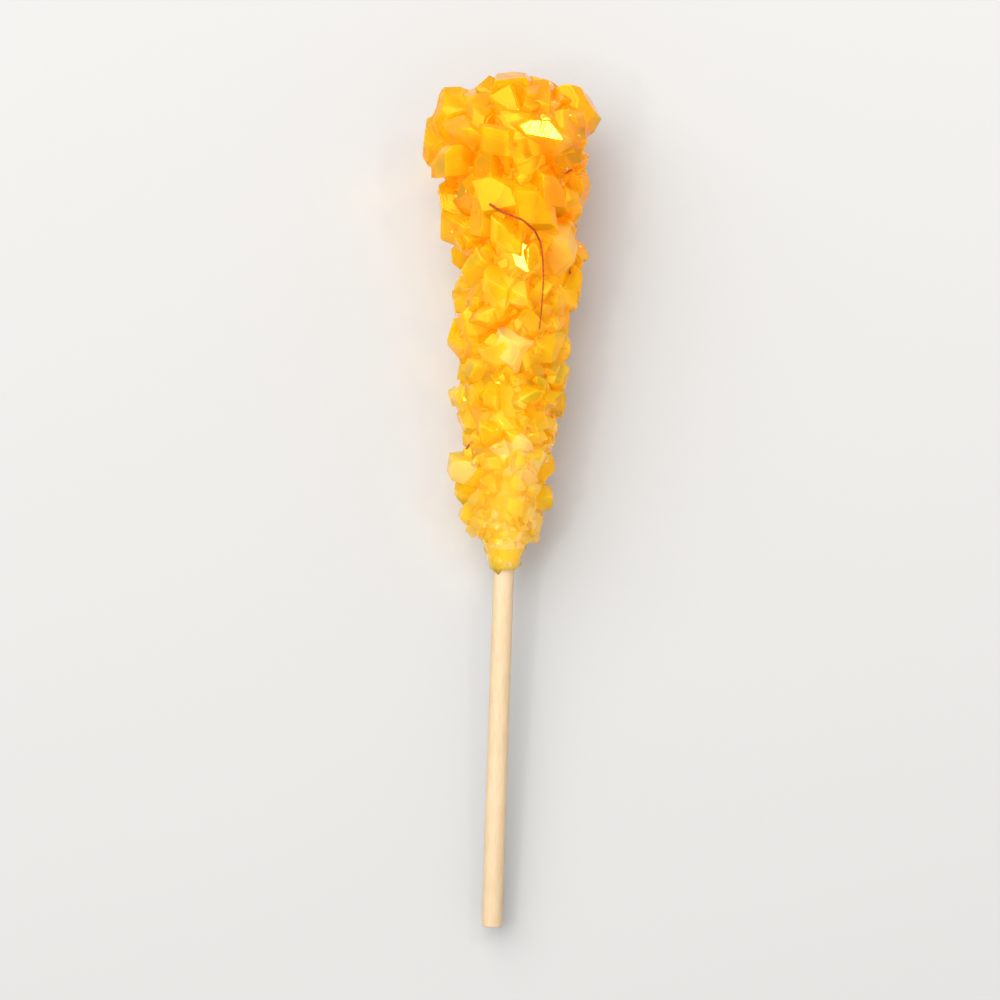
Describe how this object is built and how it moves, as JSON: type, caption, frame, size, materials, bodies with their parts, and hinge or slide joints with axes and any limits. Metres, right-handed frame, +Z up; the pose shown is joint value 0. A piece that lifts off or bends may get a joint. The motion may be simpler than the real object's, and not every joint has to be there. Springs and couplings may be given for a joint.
{
  "type": "rock candy stick",
  "caption": "Rock candy stick: a carrot-shaped cluster of saffron yellow sugar crystals grown round one end of a thin rolled paper stick, lying on its side.",
  "frame": {"origin": "centre of the bounding box's bottom face, on the surface that the candy lies on", "axes": "+Y along the stick from its bare end towards the candy's head, +X to the right seen from above, +Z up through the shown side"},
  "size_m": [0.031, 0.1582, 0.028],
  "materials": {
    "cream_paper": "matt cream rolled paper",
    "saffron_sugar": "clear to cloudy saffron yellow sugar crystal, glossy facets"
  },
  "bodies": {
    "root": {"paper_stick": "cream_paper", "rock_candy": "saffron_sugar"}
  },
  "joints": []
}
